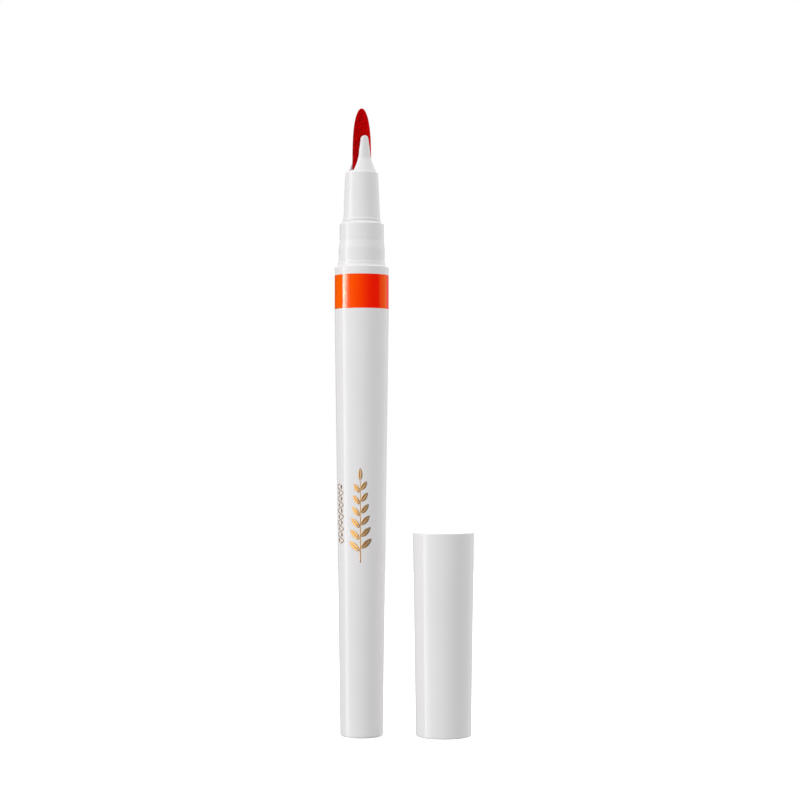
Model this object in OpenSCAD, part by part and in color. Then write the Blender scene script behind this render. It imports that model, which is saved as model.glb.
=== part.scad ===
// Felt-tip calligraphy marker, standing on its tail with the tip up, and its
// cap standing on its mouth beside it. Z runs along the barrel, the origin is
// the middle of the tail face, and the cap stands towards +X. Millimetres.

/* [Barrel] */
// Length of the barrel, from the tail face to the shoulder
barrel_len = 93.5; // [93.5:0.5:110]
// Diameter of the barrel at the tail
tail_d = 8.54; // [8.4:0.02:9.2]
// Diameter of the barrel's straight front stretch
front_d = 10.86; // [10.8:0.02:12]
// Height at which the taper ends and the straight stretch begins
taper_h = 83.5; // [60:0.5:83.5]
// Wall of the barrel between the ribs
barrel_wall = 1; // [0.9:0.02:1.05]

/* [Colour band] */
// Height of the colour band
band_h = 6.8; // [4:0.1:7.5]
// Distance from the band's upper edge to the shoulder
band_drop = 1.7; // [1:0.1:2.4]

/* [Neck and nozzle] */
// Diameter of the neck where the cap grips it
neck_d = 9.26; // [9.1:0.02:9.4]
// Height of the neck above the shoulder
neck_h = 9; // [8:0.1:10]
// Height of the tapered nozzle above the neck
nozzle_h = 9.95; // [8:0.05:12]
// Diameter of the nozzle at its foot
nozzle_foot_d = 7.6; // [7.4:0.02:7.7]
// Diameter of the nozzle at its upper edge
nozzle_top_d = 6.62; // [6.4:0.02:7]
// Turn of the tip about the marker's axis
tip_turn = 28; // [-90:1:90]

/* [Nib] */
// Width of the nib's blade
nib_w = 3.98; // [3.4:0.02:4]
// Thickness of the nib's blade
nib_t = 2; // [1.8:0.02:2.2]
// Length of the blade above the nozzle's upper edge
nib_len = 12.9; // [10:0.05:15]

/* [Cap] */
// Height of the cap
cap_h = 40.5; // [39:0.5:46]
// Diameter of the cap at its mouth
cap_mouth_d = 11.06; // [11:0.02:12]
// Diameter of the cap at its closed end
cap_end_d = 12.24; // [11.8:0.02:13]
// Distance from the marker's axis to the cap's axis
cap_apart = 16.33; // [14:0.01:30]

/* [Hidden] */
$fn = 96;

// Gap all round between pieces that are pressed together
press_gap = 0.02;
// Radial clearance of the cap on the neck
cap_clearance = 0.07;
// A little more than nothing, so that cuts pass through faces
over = 0.01;

// Barrel
front_r = front_d / 2;
tail_round = 0.45;
shoulder_round = 0.25;
band_t = 0.25;
band_z1 = barrel_len - band_drop;
band_z0 = band_z1 - band_h;
plug_head_r = 3.6;
plug_head_h = 1.2;
socket_r = 4.55;
socket_depth = 13.9;
socket_z = barrel_len - socket_depth;
rib_count = 6;
rib_w = 0.6;
rib_z0 = 8;

// Reservoir and wick
wrap_r = 3.15;
wrap_t = 0.1;
core_r = wrap_r - wrap_t - press_gap;
core_z0 = 7;
core_z1 = socket_z - 0.6;
wick_r = 0.9;
wick_sunk = 13;
wick_z0 = core_z1 - wick_sunk;
wick_z1 = barrel_len - 3.5;
// How far the plug's tube stops short of the reservoir's end face
core_rest = 0.6;

// Neck
neck_r = neck_d / 2;
neck_top_r = neck_r - 0.18;
neck_z1 = barrel_len + neck_h;
flange_r = 4.9;
flange_h = 0.9;
spigot_r = 3;
neck_web_z = barrel_len - 5.5;
neck_web_t = 2;
skirt_r = 3.4;
skirt_z1 = neck_web_z - 1;
// Height of the step at each end of a pressed piece that leads it into its hole
lead_h = 0.5;

// Nozzle
foot_z = neck_z1 + 0.05;
nozzle_z1 = foot_z + nozzle_h;
spigot_z = neck_web_z + 0.5;
nozzle_foot_r = nozzle_foot_d / 2;
nozzle_root_r = nozzle_foot_r - 0.11;
nozzle_root_h = 0.9;
nozzle_top_r = nozzle_top_d / 2;
clamp_r = 2.25;
clamp_z1 = spigot_z + 9;
pocket_z = foot_z + 2;
slot_z = nozzle_z1 + 0.3;
prong_h = 7.28;
prong_z1 = nozzle_z1 + prong_h;
nib_gap = 0.03;
pocket_half_t = nib_t / 2 + nib_gap;

// Nib
stem_r = 0.95;
blade_z1 = nozzle_z1 + nib_len;
blade_bend_z = nozzle_z1 + 2;
stem_sunk = 1;

// Cap
cap_wall = 0.97;
cap_end_t = 1.9;
grip_r = neck_r + cap_clearance;
grip_h = neck_h + 0.3;
cap_rib_r = 4.42;
cap_rib_w = 0.8;
// The seal's lip closes round the nozzle's root, and the well behind it is wider
seal_r = nozzle_root_r + 0.06;
inner_r = 3.95;
inner_z0 = grip_h + 0.3;
inner_z1 = cap_h - cap_end_t - 0.2;
cap_rib_z0 = inner_z0 + 1;
inner_end_t = 1.2;

// Outer radius of the barrel and of the cap at a height, and of the bore inside each
function barrel_r(z) = (tail_d + (front_d - tail_d) * min(1, z / taper_h)) / 2;
function bore_r(z) = barrel_r(z) - barrel_wall;
function cap_r(z) = (cap_mouth_d + (cap_end_d - cap_mouth_d) * z / cap_h) / 2;
function cavity_r(z) = cap_r(z) - cap_wall;

// Points along an arc about c, and along a quadratic curve from a to b
function arc(c, r, from, to, steps = 6) =
    [for (i = [0 : steps]) let (a = from + (to - from) * i / steps) c + r * [cos(a), sin(a)]];
function curve(a, bend, b, steps = 8) =
    [for (i = [0 : steps]) let (t = i / steps)
        pow(1 - t, 2) * a + 2 * t * (1 - t) * bend + pow(t, 2) * b];

// A solid of revolution from points given as [radius, height]
module turned(points) {
    rotate_extrude() polygon(points);
}

// A tube or rod between two heights
module rod(r, z0, z1) {
    translate([0, 0, z0]) cylinder(r = r, h = z1 - z0);
}

// Straight ribs that stand in from a wall, between two radii and two heights
module ribs(r0, r1, width, z0, z1) {
    for (i = [0 : rib_count - 1])
        rotate([0, 0, i * 360 / rib_count])
            translate([r0, -width / 2, z0]) cube([r1 - r0, width, z1 - z0]);
}

module barrel() {
    outline = concat(
        arc([barrel_r(0) - tail_round, tail_round], tail_round, -90, 0),
        [[front_r, taper_h], [front_r, band_z0], [front_r - band_t, band_z0],
         [front_r - band_t, band_z1], [front_r, band_z1]],
        arc([front_r - shoulder_round, barrel_len - shoulder_round], shoulder_round, 0, 90),
        [[socket_r, barrel_len], [socket_r, socket_z], [bore_r(socket_z), socket_z],
         [bore_r(plug_head_h), plug_head_h], [plug_head_r + press_gap, plug_head_h],
         [plug_head_r + press_gap, 0]]);
    color("whitesmoke") {
        turned(outline);
        // Ribs that centre the reservoir and leave air channels beside it
        intersection() {
            ribs(wrap_r + press_gap, front_r, rib_w, rib_z0, socket_z);
            turned([[0, rib_z0], [bore_r(rib_z0) + barrel_wall / 2, rib_z0],
                [bore_r(socket_z) + barrel_wall / 2, socket_z], [0, socket_z]]);
        }
    }
}

module colour_band() {
    z0 = band_z0 + press_gap;
    z1 = band_z1 - press_gap;
    color("orangered")
        turned([[front_r - band_t + press_gap, z0], [front_r, z0],
            [front_r, z1], [front_r - band_t + press_gap, z1]]);
}

module tail_plug() {
    face_round = 0.2;
    head_top = plug_head_h - press_gap;
    tube_r = bore_r(plug_head_h) - 0.05;
    tube_in_r = 2.3;
    bead_z = 4.5;
    bead_half_h = 0.5;
    bead_r = bore_r(bead_z) - press_gap;
    lead_in = 0.3;
    floor_z = plug_head_h + 0.6;
    color("white")
        turned(concat(
            [[0, 0]],
            arc([plug_head_r - face_round, face_round], face_round, -90, 0, 4),
            [[plug_head_r, head_top], [tube_r, head_top], [tube_r, bead_z - bead_half_h],
             [bead_r, bead_z], [tube_r, bead_z + bead_half_h], [tube_r, core_z0 - core_rest],
             [tube_r - lead_in, core_z0 - press_gap], [tube_in_r, core_z0 - press_gap],
             [tube_in_r, floor_z], [0, floor_z]]));
}

module reservoir_core() {
    color("mistyrose") difference() {
        rod(core_r, core_z0, core_z1);
        rod(wick_r + press_gap, wick_z0 - press_gap, core_z1 + over);
    }
}

module reservoir_wrap() {
    fold = 0.5;
    color("ghostwhite") difference() {
        rod(wrap_r, core_z0 + fold, core_z1 - fold);
        rod(wrap_r - wrap_t, core_z0, core_z1);
    }
}

// The wick carries colour from the reservoir to the foot of the nib's stem
module feed_wick() {
    point_r = 0.5;
    point_h = 0.8;
    color("indianred")
        turned([[0, wick_z0], [point_r, wick_z0], [wick_r, wick_z0 + point_h],
            [wick_r, wick_z1 - press_gap], [0, wick_z1 - press_gap]]);
}

module neck_collar() {
    body_r = socket_r - press_gap;
    body_z0 = socket_z + 0.4;
    lead_in = 0.4;
    seat_z = barrel_len + press_gap;
    flange_z1 = barrel_len + flange_h;
    // Wide land that the cap grips, and the narrower land above its taper
    grip_z1 = barrel_len + 3.6;
    land_z0 = grip_z1 + 1.5;
    ledge = 0.1;
    chamfer = 0.5;
    outline = concat(
        [[skirt_r, body_z0], [body_r - lead_in, body_z0], [body_r, body_z0 + lead_h],
         [body_r, seat_z], [flange_r, seat_z]],
        curve([flange_r, seat_z], [neck_r + ledge, seat_z + ledge], [neck_r + ledge, flange_z1], 5),
        [[neck_r, flange_z1 + ledge / 2], [neck_r, grip_z1], [neck_top_r, land_z0],
         [neck_top_r, neck_z1 - chamfer], [neck_top_r - chamfer, neck_z1],
         [spigot_r, neck_z1], [spigot_r, neck_web_z], [skirt_r, skirt_z1]]);
    wick_gap = 0.1;
    vent_w = 0.5;
    vent_x = 2.2;
    color("whitesmoke") {
        turned(outline);
        // Web that the nozzle's spigot stops on, with the wick's hole and two air vents
        difference() {
            rod(spigot_r + over, neck_web_z - neck_web_t, neck_web_z);
            rod(wick_r + wick_gap, neck_web_z - neck_web_t - over, neck_web_z + over);
            for (side = [-1, 1])
                translate([side * vent_x - vent_w / 2, -vent_w / 2, neck_web_z - neck_web_t - over])
                    cube([vent_w, vent_w, neck_web_t + 2 * over]);
        }
        // Skirt wall below the web
        difference() {
            rod(skirt_r + over, neck_web_z - neck_web_t, skirt_z1);
            rod(spigot_r, neck_web_z - neck_web_t - over, skirt_z1 + over);
        }
    }
}

// Round-ended section of the nib or its pocket, as a solid between two heights
module slot_bar(half_w, half_t, z0, z1) {
    reach = half_w - half_t;
    translate([-reach, -half_t, z0]) cube([2 * reach, 2 * half_t, z1 - z0]);
    for (side = [-1, 1])
        translate([side * reach, 0, 0]) rod(half_t, z0, z1);
}

module nozzle() {
    foot_h = 0.45;
    foot_edge = 0.1;
    edge = 0.3;
    outline = concat(
        [[0, spigot_z], [spigot_r - 0.25, spigot_z], [spigot_r - press_gap, spigot_z + lead_h],
         [spigot_r - press_gap, foot_z], [nozzle_foot_r - foot_edge, foot_z],
         [nozzle_foot_r, foot_z + foot_edge]],
        curve([nozzle_foot_r, foot_z + foot_h], [nozzle_root_r, foot_z + foot_h],
            [nozzle_root_r, foot_z + nozzle_root_h], 4),
        arc([nozzle_top_r - edge, nozzle_z1 - edge], edge, 5, 70, 4),
        [[nozzle_top_r - edge - 0.05, nozzle_z1], [0, nozzle_z1]]);
    color("whitesmoke") rotate([0, 0, tip_turn]) difference() {
        union() {
            turned(outline);
            prongs();
        }
        rod(clamp_r, spigot_z - over, clamp_z1);
        rod(stem_r + 0.05, clamp_z1 - over, pocket_z + over);
        slot_bar(nib_w / 2 + nib_gap, pocket_half_t, pocket_z, slot_z + over);
    }
}

// Flared cone above the nozzle's edge that rises into a prong on each flat side of the blade
module prongs() {
    base_z = nozzle_z1 - 0.6;
    base_r = nozzle_top_r - 0.3;
    flare_r = 2.1;
    flare_z = nozzle_z1 + 2.65;
    prong_r = 1.7;
    prong_half_w = 0.83;
    round_z = prong_z1 - prong_half_w;
    // Outline that turns about the marker's axis
    turned_side = concat(
        [[0, base_z], [base_r, base_z], [base_r, nozzle_z1], [flare_r, flare_z]],
        curve([prong_r, round_z], [prong_r - 0.06, prong_z1 - 0.1], [pocket_half_t + 0.25, prong_z1], 4),
        [[0, prong_z1]]);
    // Outline of one side, facing the blade's flat
    faced_side = concat(
        [[base_r + 1, base_z - 1], [base_r + 1, nozzle_z1 - 0.35], [2.6, nozzle_z1 - 0.05]],
        curve([2.48, nozzle_z1 + 0.1], [1.21, nozzle_z1 + 2.3], [1.16, nozzle_z1 + 4.2]),
        arc([0, round_z], prong_half_w, 5, 90, 7));
    mirrored = [for (i = [len(faced_side) - 2 : -1 : 0]) [-faced_side[i].x, faced_side[i].y]];
    difference() {
        intersection() {
            turned(turned_side);
            rotate([90, 0, 0])
                linear_extrude(height = 4 * base_r, center = true) polygon(concat(faced_side, mirrored));
        }
        translate([-2 * base_r, -pocket_half_t, slot_z])
            cube([4 * base_r, 2 * pocket_half_t, prong_z1]);
    }
}

// Sleeve pushed up behind the nib: it grips the stem and guides the wick to it
module nib_clamp() {
    color("white") difference() {
        rod(clamp_r - press_gap, spigot_z + 0.1, clamp_z1 - 1);
        rod(stem_r + press_gap, spigot_z, clamp_z1);
    }
}

// Half width and half thickness of the blade at a height
function blade_share(z) = z <= blade_bend_z ? 0
    : min(1, (z - blade_bend_z) / (blade_z1 - blade_bend_z));
function blade_half_w(z) = nib_w / 2 * sqrt(1 - pow(blade_share(z), 3.1));
function blade_half_t(z) = nib_t / 2 * (1 - 0.2 * blade_share(z))
    * sqrt(1 - pow(blade_share(z), 2.4));

module nib() {
    steps = 12;
    heights = [pocket_z + 0.1, blade_bend_z,
        for (i = [1 : steps - 1])
            blade_bend_z + (blade_z1 - blade_bend_z) * sin(90 * i / steps)];
    // Each section is a thin slice that narrows slightly upwards
    slice_h = 0.01;
    slice_narrowing = 0.002;
    end_r = 0.1;
    color("firebrick") rotate([0, 0, tip_turn]) {
        rod(stem_r, wick_z1, pocket_z + stem_sunk);
        hull() {
            for (z = heights)
                let (t = blade_half_t(z), reach = max(end_r / 4, blade_half_w(z) - t))
                    for (side = [-1, 1])
                        translate([side * reach, 0, z])
                            cylinder(r1 = t, r2 = t - slice_narrowing, h = slice_h, $fn = 32);
            translate([0, 0, blade_z1 - slice_h]) cylinder(r = end_r, h = slice_h, $fn = 32);
        }
    }
}

module cap_shell() {
    // The mouth is relieved to pass over the neck's flange
    mouth_r = flange_r + 0.05;
    mouth_h = flange_h + 0.1;
    mouth_round = 0.3;
    end_round = 0.18;
    roof_z = cap_h - cap_end_t;
    outline = concat(
        [[mouth_r, 0]],
        arc([cap_r(0) - mouth_round, mouth_round], mouth_round, -90, 0),
        arc([cap_r(cap_h) - end_round, cap_h - end_round], end_round, 0, 90, 4),
        [[0, cap_h], [0, roof_z], [cavity_r(roof_z), roof_z], [cavity_r(grip_h), grip_h],
         [grip_r, grip_h], [grip_r, mouth_h + mouth_r - grip_r], [mouth_r, mouth_h]]);
    color("whitesmoke") translate([cap_apart, 0, 0]) {
        turned(outline);
        // Ribs that grip the inner cap
        intersection() {
            ribs(cap_rib_r, cap_end_d / 2, cap_rib_w, cap_rib_z0, roof_z);
            turned([[0, cap_rib_z0], [cavity_r(cap_rib_z0) + cap_wall / 2, cap_rib_z0],
                [cavity_r(roof_z) + cap_wall / 2, roof_z], [0, roof_z]]);
        }
    }
}

// Cup inside the cap that closes over the nozzle and keeps the nib wet
module inner_cap() {
    lip_h = 2;
    rim_h = 0.8;
    rim_r = min(grip_r, cavity_r(inner_z0)) - press_gap;
    tube_r = cap_rib_r - press_gap;
    tube_round = 0.4;
    roof_z = inner_z1 - inner_end_t;
    color("white") translate([cap_apart, 0, 0])
        turned(concat(
            [[seal_r, inner_z0], [rim_r, inner_z0], [rim_r, inner_z0 + rim_h],
             [tube_r, inner_z0 + rim_h]],
            arc([tube_r - tube_round, inner_z1 - tube_round], tube_round, 0, 90, 4),
            [[0, inner_z1], [0, roof_z], [inner_r, roof_z], [inner_r, inner_z0 + lip_h + 0.3],
             [seal_r, inner_z0 + lip_h]]));
}

barrel();
colour_band();
tail_plug();
reservoir_core();
reservoir_wrap();
feed_wick();
neck_collar();
nozzle();
nib_clamp();
nib();
cap_shell();
inner_cap();
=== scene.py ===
# A felt-tip calligraphy marker that stands on its tail, with its cap beside it:
# fine meshes, materials, floor and light built around the fixed CAD frame.
# Every length is in metres in the row frame, and a number times MM was chosen
# in millimetres.
import math

import bmesh
import bpy
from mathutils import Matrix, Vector, noise


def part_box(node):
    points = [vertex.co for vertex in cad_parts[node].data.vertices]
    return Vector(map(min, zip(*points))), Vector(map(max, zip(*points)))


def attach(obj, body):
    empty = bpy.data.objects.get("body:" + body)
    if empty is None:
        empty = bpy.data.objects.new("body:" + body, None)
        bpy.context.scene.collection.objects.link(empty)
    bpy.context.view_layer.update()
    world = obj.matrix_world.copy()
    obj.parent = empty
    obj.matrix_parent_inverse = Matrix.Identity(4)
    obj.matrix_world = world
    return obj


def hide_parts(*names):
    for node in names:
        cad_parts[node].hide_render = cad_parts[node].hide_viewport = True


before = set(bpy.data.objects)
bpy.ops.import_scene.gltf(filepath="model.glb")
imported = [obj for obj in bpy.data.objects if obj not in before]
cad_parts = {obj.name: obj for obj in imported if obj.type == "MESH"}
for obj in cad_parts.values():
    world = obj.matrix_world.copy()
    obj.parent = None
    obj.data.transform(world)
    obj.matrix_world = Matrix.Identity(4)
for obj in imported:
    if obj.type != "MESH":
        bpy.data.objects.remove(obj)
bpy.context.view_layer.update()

MM = 0.001
SEGMENTS = 168            # faces round a turned piece
SHARP = math.radians(25)  # an outline corner sharper than this is rounded
STRAIGHT = 0.004          # an outline that turns less than this, in radians, runs straight on
ON_AXIS = 1e-6            # a radius below this is a point of the axis
TOUCHING = 1e-9           # a length below this is none
EDGE_R = 0.06 * MM        # rounding of a moulded edge
PEN_X = 0.0
CAP_X = sum(c.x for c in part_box("cap_shell")) / 2
TIP_TURN = math.radians(28)    # how far the tip is turned from facing the front
FRONT_TURN = math.radians(30)  # a half plane at this angle misses every rib


# ---------------------------------------------------------------- outlines

def node_outline(node, axis_x, turn):
    """Outline [(radius, height)] of a turned CAD node, where a half plane at an angle cuts it."""
    bm = bmesh.new()
    bm.from_mesh(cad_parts[node].data)
    bmesh.ops.remove_doubles(bm, verts=bm.verts, dist=1e-7)
    exact = [(math.hypot(v.co.x - axis_x, v.co.y), v.co.z) for v in bm.verts]
    axis = Vector((axis_x, 0, 0))
    outward = Vector((math.cos(turn), math.sin(turn), 0))
    across = Vector((-math.sin(turn), math.cos(turn), 0))
    for normal, thin in ((outward, False), (across, True)):
        bmesh.ops.bisect_plane(
            bm, geom=bm.verts[:] + bm.edges[:] + bm.faces[:], dist=1e-8,
            plane_co=axis, plane_no=normal, clear_inner=True, clear_outer=thin)
    points = [((v.co - axis).dot(outward), v.co.z) for v in chained(bm)]
    bm.free()
    return [snapped(p, exact) for p in without_straight_points(points)]


def chained(bm):
    """The vertices of a cut's single line, in order, from an end of it if it has ends."""
    ends = sorted((v for v in bm.verts if len(v.link_edges) == 1), key=lambda v: v.co.z)
    here = ends[0] if ends else bm.verts[:][0]
    line, before = [], None
    while here is not None and here not in line:
        line.append(here)
        onward = [e for e in here.link_edges if e is not before]
        before = onward[0] if onward else None
        here = before.other_vert(here) if before else None
    return line


def is_open(points):
    """True if an outline starts and ends on the axis instead of closing on itself."""
    return points[0][0] < ON_AXIS and points[-1][0] < ON_AXIS


def turn_at(a, b, c):
    """Angle by which the line a-b-c turns at b."""
    first, second = Vector(b) - Vector(a), Vector(c) - Vector(b)
    if first.length < TOUCHING or second.length < TOUCHING:
        return 0.0
    return first.angle_signed(second)


def without_straight_points(points):
    """The outline without the points where it doesn't turn."""
    closed = not is_open(points)
    kept = []
    for i, p in enumerate(points):
        if not closed and i in (0, len(points) - 1):
            kept.append(p)
        elif abs(turn_at(points[i - 1], p, points[(i + 1) % len(points)])) > STRAIGHT:
            kept.append(p)
    return kept


def snapped(point, exact, reach=0.05 * MM):
    """A cut follows the chords of a round face, so its points move out to the nearest vertex."""
    near = min(exact, key=lambda q: math.dist(point, q))
    return near if math.dist(point, near) < reach else point


def softened(points, radius):
    """The outline with its sharp corners rounded and its straight stretches supported."""
    most_room = 0.4        # share of a straight stretch that a rounded corner may take
    degrees_a_step = 15
    closed, count = not is_open(points), len(points)
    soft = []
    for i, p in enumerate(points):
        if not closed and i in (0, count - 1):
            soft.append(Vector(p))
            continue
        a, b, c = Vector(points[i - 1]), Vector(p), Vector(points[(i + 1) % count])
        turn = abs(turn_at(a, b, c))
        if turn < SHARP:
            soft.append(b)
            continue
        room = most_room * min((b - a).length, (c - b).length)
        cut = min(room, radius * math.tan(turn / 2))
        start, end = b + (a - b).normalized() * cut, b + (c - b).normalized() * cut
        steps = max(3, round(math.degrees(turn) / degrees_a_step))
        for k in range(steps + 1):
            t = k / steps
            soft.append(start * (1 - t) ** 2 + b * 2 * t * (1 - t) + end * t ** 2)
    return with_supports(soft, closed)


def with_supports(points, closed, edge=0.05 * MM, step=2.5 * MM):
    """Adds points to straight stretches, close to their ends and at even steps between."""
    full = []
    for i, a in enumerate(points):
        full.append(a)
        if not closed and i == len(points) - 1:
            break
        b = points[(i + 1) % len(points)]
        length = (b - a).length
        if length < 4 * edge:
            continue
        direction = (b - a) / length
        inner = length - 2 * edge
        spans = max(1, math.ceil(inner / step))
        full += [a + direction * (edge + inner * k / spans) for k in range(spans + 1)]
    return full


def radius_at(points, z):
    """Outer radius of an outline at a height."""
    found = []
    for (r0, z0), (r1, z1) in zip(points, points[1:] + points[:1]):
        if min(z0, z1) <= z <= max(z0, z1) and abs(z1 - z0) > TOUCHING:
            found.append(r0 + (r1 - r0) * (z - z0) / (z1 - z0))
    return max(found)


def curve(a, bend, b, steps=24):
    """Points of a quadratic curve from a to b."""
    a, bend, b = Vector(a), Vector(bend), Vector(b)
    shares = [i / steps for i in range(steps + 1)]
    return [a * (1 - t) ** 2 + bend * 2 * t * (1 - t) + b * t ** 2 for t in shares]


def value_at(points, z):
    """First coordinate of a line of points at a height, which is their second."""
    for p, q in zip(points, points[1:]):
        if p[1] <= z <= q[1]:
            return p[0] + (q[0] - p[0]) * (z - p[1]) / (q[1] - p[1])
    return points[0][0] if z < points[0][1] else points[-1][0]


# ------------------------------------------------------------------ meshes

def finished(name, bm, material, body, nodes=()):
    """Turns a bmesh into a smooth piece that rides on a body and stands for CAD nodes."""
    bmesh.ops.recalc_face_normals(bm, faces=bm.faces)
    mesh = bpy.data.meshes.new(name)
    bm.to_mesh(mesh)
    bm.free()
    mesh.shade_smooth()
    mesh.materials.append(material)
    piece = bpy.data.objects.new(name, mesh)
    bpy.context.scene.collection.objects.link(piece)
    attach(piece, body)
    if nodes:
        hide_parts(*nodes)
    return piece


def turned(bm, points, axis_x):
    """Adds the solid that an outline makes when it turns about an upright axis."""
    rings = []
    for r, z in points:
        count = 1 if r < ON_AXIS else SEGMENTS
        angles = [2 * math.pi * i / SEGMENTS for i in range(count)]
        places = [(axis_x + r * math.cos(a), r * math.sin(a), z) for a in angles]
        rings.append([bm.verts.new(place) for place in places])
    pairs = list(zip(rings, rings[1:]))
    if not is_open(points):
        pairs.append((rings[-1], rings[0]))
    for low, high in pairs:
        bridge(bm, low, high)


def bridge(bm, low, high):
    """Faces between two rings, either of which may be a single vertex."""
    count = max(len(low), len(high))
    for i in range(count):
        j = (i + 1) % count
        corners = [low[i % len(low)], low[j % len(low)], high[j % len(high)], high[i % len(high)]]
        bm.faces.new(list(dict.fromkeys(corners)))


def lofted(bm, sections):
    """Adds a closed solid through a stack of sections that have as many points as each other."""
    rings = [[bm.verts.new(p) for p in section] for section in sections]
    for low, high in zip(rings, rings[1:]):
        bridge(bm, low, high)
    for ring in (rings[0], rings[-1]):
        centre = sum((v.co for v in ring), Vector()) / len(ring)
        bridge(bm, ring, [bm.verts.new(centre)])


def turned_node(name, node, axis_x, radius, material, body):
    """A fine copy of a turned CAD node, with its sharp edges rounded."""
    bm = bmesh.new()
    turned(bm, softened(node_outline(node, axis_x, FRONT_TURN), radius), axis_x)
    return finished(name, bm, material, body, [node])


# --------------------------------------------------------------- materials

def new_material(name, roughness, colour):
    """A node material with its Principled shader's plain values set."""
    material = bpy.data.materials.new(name)
    material.use_nodes = True
    shader = material.node_tree.nodes["Principled BSDF"]
    shader.inputs["Roughness"].default_value = roughness
    shader.inputs["Base Color"].default_value = (*colour, 1)
    return material, shader


def add_node(material, kind, inputs=None, **settings):
    """A new shader node with its input values and settings."""
    node = material.node_tree.nodes.new(kind)
    for key, value in settings.items():
        setattr(node, key, value)
    for key, value in (inputs or {}).items():
        node.inputs[key].default_value = value
    return node


def link(material, source, socket, target, target_socket):
    """Joins an output of one shader node to an input of another."""
    material.node_tree.links.new(source.outputs[socket], target.inputs[target_socket])


def noise_field(material, scale, detail=3.0, stretch=(1, 1, 1)):
    """Noise in the row frame, with its scale multiplied along each axis by the stretch."""
    place = add_node(material, "ShaderNodeTexCoord")
    mapping = add_node(material, "ShaderNodeMapping", {"Scale": stretch})
    field = add_node(material, "ShaderNodeTexNoise", {"Scale": scale, "Detail": detail})
    link(material, place, "Object", mapping, "Vector")
    link(material, mapping, "Vector", field, "Vector")
    return field


def vary_colour(material, shader, field, dark, light, low=0.35, high=0.65):
    """Base colour runs from dark to light over the middle of a noise field."""
    ramp = add_node(material, "ShaderNodeValToRGB")
    for stop, position, colour in zip(ramp.color_ramp.elements, (low, high), (dark, light)):
        stop.position, stop.color = position, (*colour, 1)
    link(material, field, "Fac", ramp, "Fac")
    link(material, ramp, "Color", shader, "Base Color")
    return ramp


def vary_roughness(material, shader, field, low, high):
    """Roughness runs from low to high with a noise field."""
    spread = add_node(material, "ShaderNodeMapRange", {"To Min": low, "To Max": high})
    link(material, field, "Fac", spread, "Value")
    link(material, spread, "Result", shader, "Roughness")


def bump(material, shader, fields):
    """Chains bump nodes: each field with its strength and its depth in metres."""
    before = None
    for field, strength, depth in fields:
        node = add_node(material, "ShaderNodeBump", {"Strength": strength, "Distance": depth})
        link(material, field, "Fac", node, "Height")
        if before:
            link(material, before, "Normal", node, "Normal")
        before = node
    link(material, before, "Normal", shader, "Normal")


def plastic(name, dark, light, gloss, ripple):
    """Moulded plastic: faint changes of tone and gloss, slow mould ripple and fine marks."""
    material, shader = new_material(name, gloss, light)
    tone = noise_field(material, scale=60, detail=2)
    marks = noise_field(material, scale=900, detail=4, stretch=(1, 1, 0.12))
    vary_colour(material, shader, tone, dark, light)
    vary_roughness(material, shader, marks, low=gloss * 0.75, high=gloss * 1.3)
    bump(material, shader, [(tone, ripple, 0.05 * MM), (marks, 0.25, 0.0006 * MM)])
    shader.inputs["IOR"].default_value = 1.49
    return material


def felt(name, dark, light, pores, painted_shade=0.0):
    """Pressed fibre soaked with colour: fibres over patches, and painted shade, darker toward -X and paler
    toward +X by the given amount.
    """
    half_span = 1.9 * MM
    material, shader = new_material(name, 0.6, light)
    fibres = noise_field(material, scale=5200, detail=5, stretch=(1, 1, 0.35))
    patches = noise_field(material, scale=1300, detail=3)
    blend = add_node(material, "ShaderNodeMix", {"Factor": 0.25})
    link(material, fibres, "Fac", blend, "A")
    link(material, patches, "Fac", blend, "B")
    place = add_node(material, "ShaderNodeTexCoord")
    axes = add_node(material, "ShaderNodeSeparateXYZ")
    # Painted shade: the colour runs darker toward -X and paler toward +X, standing in for the way light
    # falls across the nib
    painted_shade_ramp = add_node(material, "ShaderNodeMapRange",
                    {"From Min": -half_span, "From Max": half_span, "To Min": -painted_shade, "To Max": painted_shade})
    total = add_node(material, "ShaderNodeMath", operation="ADD")
    link(material, place, "Object", axes, "Vector")
    link(material, axes, "X", painted_shade_ramp, "Value")
    link(material, blend, "Result", total, 0)
    link(material, painted_shade_ramp, "Result", total, 1)
    ramp = vary_colour(material, shader, fibres, dark, light)
    link(material, total, "Value", ramp, "Fac")
    vary_roughness(material, shader, patches, low=0.5, high=0.75)
    bump(material, shader, [(fibres, 0.5, pores)])
    shader.inputs["Specular IOR Level"].default_value = 0.03
    return material


def foil(name, dark, light):
    """Hot-stamped foil: metal with fine rolling streaks and a slightly uneven shine."""
    material, shader = new_material(name, 0.3, light)
    streaks = noise_field(material, scale=1500, detail=4, stretch=(1, 1, 0.2))
    vary_colour(material, shader, streaks, dark, light)
    vary_roughness(material, shader, streaks, low=0.22, high=0.42)
    bump(material, shader, [(streaks, 0.3, 0.002 * MM)])
    shader.inputs["Metallic"].default_value = 1
    return material


WHITE = plastic("glossy_white", (0.785, 0.772, 0.78), (0.8, 0.788, 0.795), gloss=0.055, ripple=0.03)
NECK = plastic("neck_white", (0.785, 0.775, 0.78), (0.8, 0.79, 0.795), gloss=0.06, ripple=0.04)
INNER = plastic("natural_white", (0.7, 0.7, 0.685), (0.76, 0.76, 0.75), gloss=0.42, ripple=0.1)
ORANGE = plastic("glossy_orange", (0.98, 0.01, 0.0), (1.0, 0.011, 0.0), gloss=0.06, ripple=0.03)
FILM = plastic("wrap_film", (0.66, 0.63, 0.6), (0.74, 0.71, 0.68), gloss=0.3, ripple=0.1)
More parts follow.
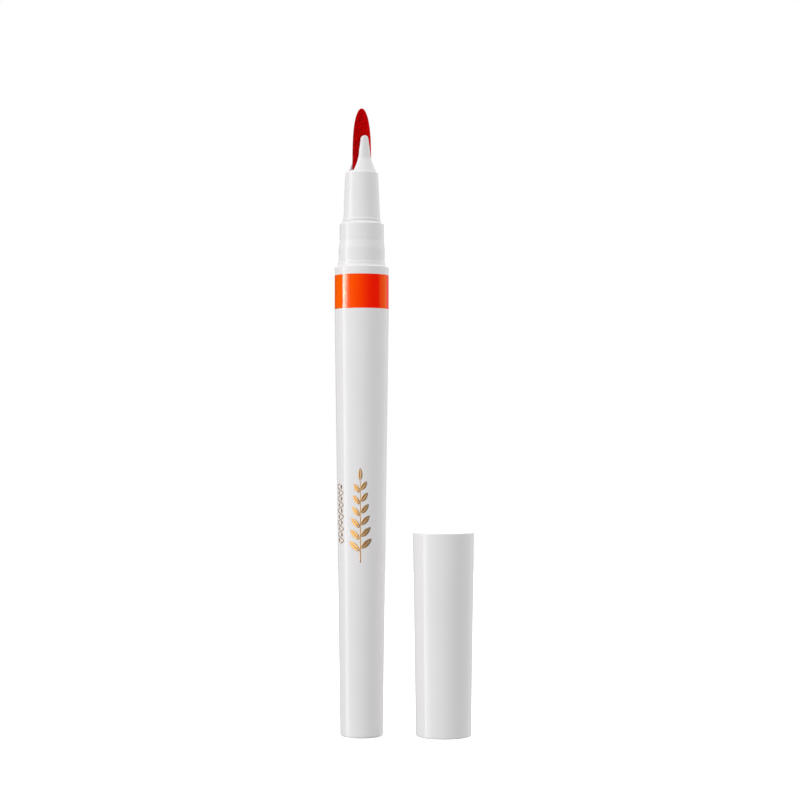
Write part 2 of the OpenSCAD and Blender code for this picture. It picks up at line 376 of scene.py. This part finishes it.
# The red felt gets painted shade, darker on its -X side and paler on its +X side
RED_FELT = felt("red_felt", (0.24, 0.0, 0.0003), (0.68, 0.0, 0.0008), pores=0.02 * MM, painted_shade=0.11)
FIBRE = felt("inked_fibre", (0.3, 0.02, 0.02), (0.6, 0.06, 0.05), pores=0.05 * MM)
GOLD = foil("gold_foil", (0.82, 0.42, 0.13), (0.94, 0.55, 0.19))


# --------------------------------------------------- turned, moulded pieces

def make_pen_shells():
    """The barrel, tail plug and neck, and the orange ring, which is handed back."""
    turned_node("barrel_shell", "barrel", PEN_X, EDGE_R, WHITE, "pen")
    turned_node("tail_closure", "tail_plug", PEN_X, EDGE_R, WHITE, "pen")
    turned_node("neck_sleeve", "neck_collar", PEN_X, EDGE_R, NECK, "pen")
    return turned_node("orange_ring", "colour_band", PEN_X, 0.01 * MM, ORANGE, "pen")


def make_cap():
    """The cap's shell and the liner that seals on the nozzle."""
    return [
        turned_node("cap_skin", "cap_shell", CAP_X, EDGE_R, WHITE, "cap"),
        turned_node("cap_liner", "inner_cap", CAP_X, 0.08 * MM, INNER, "cap")]


# ------------------------------------------------------- nozzle and prongs

PRONG_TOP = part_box("nozzle")[1].z
NOZZLE_OUTLINE = node_outline("nozzle", PEN_X, TIP_TURN)
SLOT_FLOOR = max(z for r, z in NOZZLE_OUTLINE)
RIM_Z = SLOT_FLOOR - 0.3 * MM
BASE_R, FLARE_R, PRONG_R = 3.01 * MM, 2.1 * MM, 1.7 * MM
PRONG_HALF_W = 0.83 * MM
PRONG_CORNER, FOOT_CORNER = 0.45 * MM, 0.1 * MM
SLOT_HALF_T = 1.03 * MM


def tip_point(across, out, z, side):
    """A point of the tip: across its slot, out from it on one side, and turned about the marker's axis."""
    x, y = side * across, -side * out
    c, s = math.cos(TIP_TURN), math.sin(TIP_TURN)
    return Vector((x * c - y * s, x * s + y * c, z))


def prong_section(radius, half_w, floor):
    """Section (across, out) between the slot and the turned outline, with rounded corners."""
    half_w = min(half_w, math.sqrt(radius ** 2 - floor ** 2) - 0.02 * MM)
    rise = math.sqrt(radius ** 2 - half_w ** 2)
    # Both corners shrink where the section gets too small for them
    foot = min(FOOT_CORNER, 0.3 * half_w, 0.3 * (rise - floor))
    corner = min(PRONG_CORNER, 0.45 * half_w, rise - floor - 1.2 * foot)
    crown = math.asin(half_w / radius) - corner / radius
    crowned = [Vector((radius * math.sin(crown * k / 10), radius * math.cos(crown * k / 10)))
               for k in range(10, -1, -1)]
    right = [Vector(((half_w - foot) * k / 5, floor)) for k in range(5)]
    right += curve((half_w - foot, floor), (half_w, floor), (half_w, floor + foot), 5)
    right += curve((half_w, rise - corner), (half_w, rise), crowned[0], 9)
    right += crowned[1:]
    left = [Vector((-p.x, p.y)) for p in reversed(right[1:-1])]
    return right + left


def make_nozzle():
    """The tapered body is turned, and two prongs with round tops rise from inside its edge."""
    sunk = 0.4 * MM        # how far below the edge the prongs begin
    top_draft = 0.16 * MM  # how far a prong's faces draw in towards its top
    bm = bmesh.new()
    turned(bm, softened(NOZZLE_OUTLINE, 0.07 * MM), PEN_X)
    round_z = PRONG_TOP - PRONG_HALF_W
    flare_z = RIM_Z + 2.65 * MM
    turned_side = [(BASE_R, RIM_Z), (FLARE_R, flare_z), (PRONG_R, round_z)]
    faced_side = (
        [Vector((2.6 * MM, RIM_Z - 0.5 * MM))]
        + curve((2.5 * MM, RIM_Z), (1.21 * MM, RIM_Z + 2.3 * MM), (1.16 * MM, RIM_Z + 4.2 * MM))
        + [Vector((PRONG_HALF_W, round_z))])
    rows, dome_rows = 46, 16
    heights = [RIM_Z - sunk + (round_z - RIM_Z + sunk) * i / rows for i in range(rows)]
    for side in (1, -1):
        sections = []
        for z in heights:
            flat = prong_section(value_at(turned_side, z), value_at(faced_side, z), SLOT_HALF_T)
            sections.append([tip_point(p.x, p.y, z, side) for p in flat])
        for i in range(dome_rows):
            a = math.pi / 2 * i / dome_rows
            z = round_z + PRONG_HALF_W * math.sin(a)
            shrink = top_draft * (1 - math.cos(a))
            flat = prong_section(PRONG_R - shrink, PRONG_HALF_W * math.cos(a), SLOT_HALF_T + shrink)
            sections.append([tip_point(p.x, p.y, z, side) for p in flat])
        lofted(bm, sections)
    finished("nozzle_body", bm, NECK, "pen", ["nozzle"])


# --------------------------------------------------------------------- nib

def make_nib():
    """Petal blade with a ground, fibrous skin, and the round stem behind it."""
    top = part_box("nib")[1].z
    stem_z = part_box("nib")[0].z
    bend_z = RIM_Z + 2 * MM
    blade_z = RIM_Z - 7.8 * MM
    half_w, half_t, stem_r = 1.99 * MM, 1.0 * MM, 0.95 * MM
    side_fullness, face_fullness, blade_squareness = 3.1, 2.4, 2.5
    end_thinning, row_spread = 0.2, 0.9
    around, rows = 160, 190
    lump_size, fibre_size, fibre_stretch = 0.5 * MM, 0.13 * MM, 0.4
    lump_depth, fibre_depth = 0.004 * MM, 0.006 * MM
    sections = []

    def section(w, t, power, z):
        points = []
        for i in range(around):
            a = 2 * math.pi * i / around
            c, s = math.cos(a), math.sin(a)
            x = w * math.copysign(abs(c) ** (2 / power), c)
            y = t * math.copysign(abs(s) ** (2 / power), s)
            points.append(tip_point(x, y, z, 1))
        return points

    for z in (stem_z, stem_z + 4 * MM, stem_z + 9 * MM, blade_z - 0.02 * MM):
        sections.append(section(stem_r, stem_r, 2, z))
    for i in range(rows + 1):
        t = i / rows
        z = blade_z + (top - blade_z) * math.sin(math.pi / 2 * t) ** row_spread
        share = min(0.9995, max(0, (z - bend_z) / (top - bend_z)))
        w = half_w * math.sqrt(1 - share ** side_fullness)
        thick = half_t * (1 - end_thinning * share) * math.sqrt(1 - share ** face_fullness)
        sections.append(section(w, min(w, thick), blade_squareness, z))
    bm = bmesh.new()
    lofted(bm, sections)
    bmesh.ops.recalc_face_normals(bm, faces=bm.faces)
    bm.normal_update()
    for v in bm.verts:
        if v.co.z > blade_z + 0.5 * MM:
            lumps = noise.fractal(v.co / lump_size, 1.0, 2.0, 4)
            fibres = noise.noise(Vector((v.co.x, v.co.y, v.co.z * fibre_stretch)) / fibre_size)
            v.co += v.normal * (lump_depth * lumps + fibre_depth * fibres)
    finished("felt_nib", bm, RED_FELT, "pen", ["nib"])


# -------------------------------------------------------------- ornament

BARREL_OUTLINE = node_outline("barrel", PEN_X, FRONT_TURN)
FOIL_T = 0.03 * MM


def on_barrel(s, z, lift, azimuth):
    """A point of the barrel's surface: s along it sideways from an azimuth, with 0 facing -Y."""
    r = radius_at(BARREL_OUTLINE, z)
    a = math.radians(azimuth) + s / r
    return Vector(((r + lift) * math.sin(a), -(r + lift) * math.cos(a), z))


def foil_patch(bm, grid, azimuth):
    """Adds a thin closed sheet on the barrel, over a grid of (sideways, height) points."""
    rows, columns = len(grid), len(grid[0])
    sides = []
    for lift in (FOIL_T, -FOIL_T / 2):
        sides.append([[bm.verts.new(on_barrel(s, z, lift, azimuth)) for s, z in row]
                      for row in grid])
    for side in sides:
        for i in range(rows - 1):
            for j in range(columns - 1):
                bm.faces.new((side[i][j], side[i][j + 1], side[i + 1][j + 1], side[i + 1][j]))
    rim = [(0, j) for j in range(columns)] + [(i, columns - 1) for i in range(1, rows)]
    rim += [(rows - 1, j) for j in range(columns - 2, -1, -1)]
    rim += [(i, 0) for i in range(rows - 2, 0, -1)]
    for (i, j), (k, m) in zip(rim, rim[1:] + rim[:1]):
        bm.faces.new((sides[0][i][j], sides[0][k][m], sides[1][k][m], sides[1][i][j]))


def leaf(bm, root, angle, length, width, azimuth):
    """A pointed leaf in two halves with a bare rib between them."""
    half_rib, margin, end_swell = 0.035 * MM, 0.04 * MM, 0.03
    rows, columns = 12, 4
    along = Vector((math.sin(angle), math.cos(angle)))
    aside = Vector((along.y, -along.x))
    for half in (-1, 1):
        grid = []
        for i in range(rows + 1):
            t = i / rows
            swell = max(0, math.sin(math.pi * t)) ** 0.75 * (1 - 0.25 * t) + end_swell
            centre = root + along * length * t
            reach = width / 2 * swell + margin - half_rib
            grid.append([tuple(centre + aside * half * (half_rib + reach * k / columns))
                         for k in range(columns + 1)])
        foil_patch(bm, grid, azimuth)


def make_sprig():
    """Gold ornament on the front of the barrel: a plain stem with paired leaves and a bud."""
    low, height, azimuth = 34.8 * MM, 18.6 * MM, -2
    stem_share, bud_share = 0.86, 0.87
    stem_rows, pairs = 40, 6
    bm = bmesh.new()
    stem = []
    for i in range(stem_rows + 1):
        t = i / stem_rows
        z = low + height * stem_share * t
        thick = (0.11 - 0.05 * t) * MM
        stem.append([(-thick, z), (0, z), (thick, z)])
    foil_patch(bm, stem, azimuth)
    for i in range(pairs):
        t = i / (pairs - 1)
        z = low + height * (0.12 + 0.62 * t)
        angle, length, width = math.radians(48 - 14 * t), (2.8 - 0.8 * t) * MM, (1.1 - 0.2 * t) * MM
        for side in (-1, 1):
            root = Vector((side * 0.16 * MM, z + 0.5 * MM * (side + 1) / 2))
            leaf(bm, root, side * angle, length, width, azimuth)
    leaf(bm, Vector((0, low + height * bud_share)), 0, 2.4 * MM, 0.8 * MM, azimuth)
    return finished("gold_sprig", bm, GOLD, "pen")


def make_tendril():
    """Small second ornament left of the first: a fine waving stem with a leaf in each bend."""
    low, height, azimuth = 38.4 * MM, 11.8 * MM, -58.5
    sway, half_line = 1.0 * MM, 0.095 * MM
    bends, steps_a_bend = 10, 16
    pitch = height / bends
    bm = bmesh.new()
    stem = []
    for i in range(bends * steps_a_bend + 1):
        z = low + pitch * i / steps_a_bend
        turn = math.pi * i / steps_a_bend
        slope = sway * math.pi / pitch * math.cos(turn)
        aside = Vector((1, -slope)).normalized() * half_line
        middle = Vector((sway * math.sin(turn), z))
        stem.append([tuple(middle + aside * k) for k in (-1, 0, 1)])
    foil_patch(bm, stem, azimuth)
    for i in range(bends):
        side = 1 if i % 2 else -1
        root = Vector((side * 0.48 * MM, low + pitch * (i + 0.15)))
        leaf(bm, root, 0, 0.85 * MM, 0.5 * MM, azimuth)
    return finished("gold_tendril", bm, GOLD, "pen")


orange_ring = make_pen_shells()
cap_pieces = make_cap()
make_nozzle()
make_nib()
gold_sprig = make_sprig()
gold_tendril = make_tendril()
for node, material in (("reservoir_core", FIBRE), ("reservoir_wrap", FILM),
                       ("feed_wick", FIBRE), ("nib_clamp", INNER)):
    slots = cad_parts[node].data.materials
    slots.clear()
    slots.append(material)


# ------------------------------------------------------ camera, floor, light

def make_camera():
    """A view from the front, at a little under half the marker's height."""
    camera = bpy.data.objects.new("camera", bpy.data.cameras.new("camera"))
    bpy.context.scene.collection.objects.link(camera)
    camera.location = (7.66 * MM, -378 * MM, 60.1 * MM)
    camera.rotation_euler = (math.radians(91.03), 0, 0)
    camera.data.lens = 85.05
    camera.data.sensor_width = 36
    camera.data.clip_start = 0.01
    bpy.context.scene.camera = camera


def make_floor():
    """A round pale floor that the pieces neither mirror nor take light from."""
    bm = bmesh.new()
    bmesh.ops.create_circle(bm, cap_ends=True, radius=0.45, segments=128)
    mesh = bpy.data.meshes.new("floor")
    bm.to_mesh(mesh)
    bm.free()
    floor = bpy.data.objects.new("floor", mesh)
    bpy.context.scene.collection.objects.link(floor)
    floor.location.z = -0.01 * MM  # clear of the faces that stand on it
    floor.visible_diffuse = False
    floor.visible_glossy = False
    material, shader = new_material("pale_floor", 0.9, (0.95, 0.95, 0.95))
    shader.inputs["Specular IOR Level"].default_value = 0.1
    shader.inputs["Emission Color"].default_value = (1, 1, 1, 1)
    shader.inputs["Emission Strength"].default_value = 0.4
    mesh.materials.append(material)


SCENE_MIDDLE = Vector((8 * MM, 0, 60 * MM))


def make_area(name, azimuth, elevation, distance, width, height, radiance,
              diffuse=True, glossy=True, only=None):
    """Rectangular light that faces the marker, with its angles in degrees: azimuth 0 is on -Y, 90 on +X."""
    a, e = math.radians(azimuth), math.radians(elevation)
    away = Vector((math.sin(a) * math.cos(e), -math.cos(a) * math.cos(e), math.sin(e)))
    light = bpy.data.lights.new(name, "AREA")
    light.shape = "RECTANGLE"
    light.size, light.size_y = width, height
    light.energy = radiance * math.pi * width * height
    lamp = bpy.data.objects.new(name, light)
    bpy.context.scene.collection.objects.link(lamp)
    lamp.location = SCENE_MIDDLE + away * distance
    lamp.rotation_euler = away.to_track_quat("Z", "Y").to_euler()
    lamp.visible_diffuse, lamp.visible_glossy = diffuse, glossy
    lamp.visible_camera = False
    if only:
        lamp.light_linking.receiver_collection = only
    return lamp


def make_panel(name, azimuth, distance, width, radiance, only=None):
    """Tall light at the marker's own height that only its gloss sees."""
    height = 1.6
    return make_area(name, azimuth, 0, distance, width, height, radiance, diffuse=False, only=only)


def group_of(name, pieces):
    """A collection outside the scene that says which pieces a light reaches."""
    group = bpy.data.collections.new(name)
    for piece in pieces:
        group.objects.link(piece)
    return group


def make_room():
    """A world that is white to the camera, dimmer as soft light and nearly dark to the gloss."""
    soft_level, gloss_level, camera_level = 0.47, 0.02, 1
    world = bpy.data.worlds.new("white_room")
    bpy.context.scene.world = world
    world.use_nodes = True
    nodes, links = world.node_tree.nodes, world.node_tree.links
    nodes.clear()
    path = nodes.new("ShaderNodeLightPath")
    level = nodes.new("ShaderNodeMix")
    seen = nodes.new("ShaderNodeMix")
    room = nodes.new("ShaderNodeBackground")
    output = nodes.new("ShaderNodeOutputWorld")
    room.inputs["Color"].default_value = (1, 1, 1, 1)
    for mix, ray, otherwise, then in ((level, "Is Glossy Ray", soft_level, gloss_level),
                                      (seen, "Is Camera Ray", 0, camera_level)):
        mix.inputs["A"].default_value, mix.inputs["B"].default_value = otherwise, then
        links.new(path.outputs[ray], mix.inputs["Factor"])
    links.new(level.outputs["Result"], seen.inputs["A"])
    links.new(seen.outputs["Result"], room.inputs["Strength"])
    links.new(room.outputs["Background"], output.inputs["Surface"])


def make_light(pieces, ring, cap, sprig, tendril):
    """Keys from the front left, fills from the right, and panels that only the gloss sees."""
    # A lamp's numbers are its azimuth, elevation, distance, width, height and radiance
    make_area("key", -45, 12, 1.2, 0.5, 0.5, 8.5, glossy=False)
    make_area("side_key", -70, 12, 1.2, 0.5, 0.5, 2.2, glossy=False)
    make_area("fill", 115, 8, 1.2, 0.4, 0.5, 9.7, glossy=False).data.use_shadow = False
    make_area("side_fill", 75, 8, 1.2, 0.4, 0.5, 2.4, glossy=False)
    make_area("top", 0, 90, 0.9, 0.9, 0.9, 2.4, glossy=False)
    # A panel's numbers are its azimuth, distance, width and radiance
    make_panel("back_right", 150, 0.9, 1.04, 0.42)
    all_but_ring = group_of("all_but_ring", [piece for piece in pieces if piece is not ring])
    make_panel("back_left", 207, 0.9, 0.92, 0.42, all_but_ring)
    make_panel("backdrop", 180, 0.9, 0.38, 0.9)
    # Three strips side by side make the bright streak, which fades to one side
    azimuths, widths = (-85, -73.5, -63), (0.19, 0.173, 0.157)
    pen = [piece for piece in pieces if piece is not ring and piece not in cap]
    for name, group, turn, levels in (("pen", pen, 3, (2.5, 1.2, 0.3)),
                                      ("cap", cap, 7, (2.5, 1.2, 0.3)),
                                      ("ring", [ring], 4, (15, 7, 1.5))):
        receivers = group_of(name + "_strips", group)
        for azimuth, width, radiance in zip(azimuths, widths, levels):
            make_panel(name + "_strip", azimuth + turn, 0.9, width, radiance, receivers)
    # Green light turns the ring's red to orange at both of its sides
    ring_only = group_of("ring_only", [ring])
    glow = make_area("ring_glow", -74, 0, 1.2, 0.5, 0.5, 226, glossy=False, only=ring_only)
    edge = make_panel("ring_edge", 107, 0.9, 0.81, 1.0, ring_only)
    glow.data.color = edge.data.color = (0.0, 1.0, 0.1)
    sprig_only = group_of("foil_panels", [sprig])
    make_panel("foil_left", -40, 0.8, 0.67, 1.7, sprig_only)
    make_panel("foil_right", 22, 0.8, 0.67, 0.35, sprig_only)
    tendril_only = group_of("tendril_panel", [tendril])
    make_panel("foil_side", -122, 0.8, 0.67, 0.25, tendril_only)
    bpy.context.scene.view_settings.view_transform = "Standard"


make_camera()
pieces = [thing for thing in bpy.context.scene.objects if thing.type == "MESH"]
for piece in pieces:
    piece.visible_glossy = False
make_floor()
make_room()
make_light(pieces, orange_ring, cap_pieces, gold_sprig, gold_tendril)
